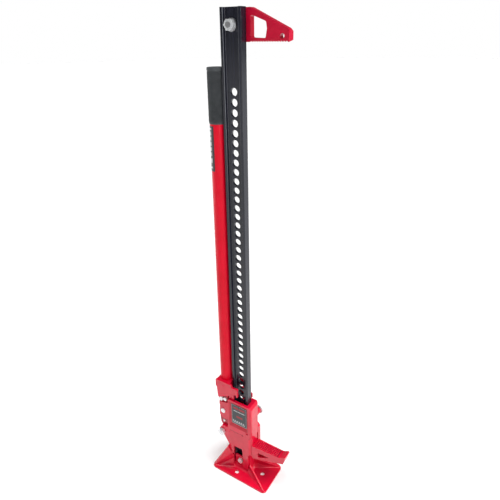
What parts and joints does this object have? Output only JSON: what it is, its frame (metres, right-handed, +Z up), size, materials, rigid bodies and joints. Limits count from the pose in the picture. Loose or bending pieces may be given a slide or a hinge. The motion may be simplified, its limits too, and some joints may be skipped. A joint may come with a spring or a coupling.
{
  "type": "farm jack",
  "caption": "Farm jack: punched rack bar on a ribbed base, climbing runner with a lifting nose, socketed handle with a rubber grip, toothed top arm.",
  "frame": {"origin": "on the rack bar's axis at floor level, on the underside of the base plate", "axes": "+Z up along the rack bar, +X along the lifting nose, +Y towards the climbing pins"},
  "size_m": [0.2227, 0.105, 1.218],
  "materials": {
    "red_paint": "gloss red paint over casting and pressed steel",
    "black_paint": "satin black powder coat on rolled steel",
    "zinc_plate": "bright zinc plating",
    "pin_steel": "oiled plain steel",
    "grip_rubber": "knurled black rubber",
    "label": "printed dark label with plain bars",
    "sticker": "printed dark wrap with plain bars"
  },
  "bodies": {
    "rack": {"rack_bar": "black_paint", "base_plate": "red_paint", "base_bolt": "zinc_plate", "base_nut": "zinc_plate", "top_arm": "red_paint", "top_bolt": "zinc_plate", "top_washers": "zinc_plate", "top_nut": "zinc_plate"},
    "large_runner": {"large_runner": "red_paint", "label_plate": "label", "handle_pivot_pin": "zinc_plate", "pivot_pin_clip": "pin_steel", "ear_rivets": "zinc_plate", "tie_bolt": "zinc_plate", "tie_nut": "zinc_plate", "tie_spacer": "pin_steel", "latch_bolt": "zinc_plate", "latch_spring_washer": "pin_steel", "lower_pin_spring": "pin_steel"},
    "lower_climbing_pin": {"lower_climbing_pin": "pin_steel", "lower_cross_pin": "pin_steel"},
    "small_runner": {"small_runner": "red_paint", "pitman_upper_pin": "zinc_plate", "upper_pin_spring": "pin_steel"},
    "upper_climbing_pin": {"upper_climbing_pin": "pin_steel", "upper_cross_pin": "pin_steel"},
    "handle": {"handle_socket": "red_paint", "handle_tube": "red_paint", "handle_grip": "grip_rubber", "handle_sticker": "sticker", "tube_rivet": "red_paint", "arm_screws": "zinc_plate", "pitman_lower_pin": "zinc_plate"},
    "pitman": {"pitman": "pin_steel"},
    "reversing_latch": {"reversing_latch": "red_paint"}
  },
  "joints": [
    {"name": "runner_lift", "type": "slide", "parent": "rack", "child": "large_runner", "axis": [0, 0, 1], "range_m": [0, 0.7995]},
    {"name": "handle_hinge", "type": "hinge", "parent": "large_runner", "child": "handle", "pos_m": [-0.0521, 0, 0.2106], "axis": [0, -1, 0], "range_deg": [0, 90]},
    {"name": "small_runner_slide", "type": "slide", "parent": "large_runner", "child": "small_runner", "axis": [0, 0, 1], "range_m": [-0.0205, 0]},
    {"name": "pitman_hinge", "type": "hinge", "parent": "handle", "child": "pitman", "pos_m": [-0.06235, 0, 0.22085], "axis": [0, -1, 0], "range_deg": [-90, 0]},
    {"name": "latch_hinge", "type": "hinge", "parent": "large_runner", "child": "reversing_latch", "pos_m": [0.028, 0, 0.206], "axis": [0, 1, 0], "range_deg": [0, 60]},
    {"name": "lower_pin_slide", "type": "slide", "parent": "large_runner", "child": "lower_climbing_pin", "axis": [0, -1, 0], "range_m": [0, 0.0079], "deforming": ["lower_pin_spring"]},
    {"name": "upper_pin_slide", "type": "slide", "parent": "small_runner", "child": "upper_climbing_pin", "axis": [0, -1, 0], "range_m": [0, 0.0079], "deforming": ["upper_pin_spring"]}
  ],
  "couplings": [
    {"joint": "small_runner_slide", "follows": "handle_hinge", "m_per_rad": -0.013051},
    {"joint": "pitman_hinge", "follows": "handle_hinge", "ratio": -1},
    {"joint": "lower_pin_slide", "follows": "latch_hinge", "m_per_rad": 0.0075439},
    {"joint": "upper_pin_slide", "follows": "latch_hinge", "m_per_rad": 0.0075439}
  ]
}
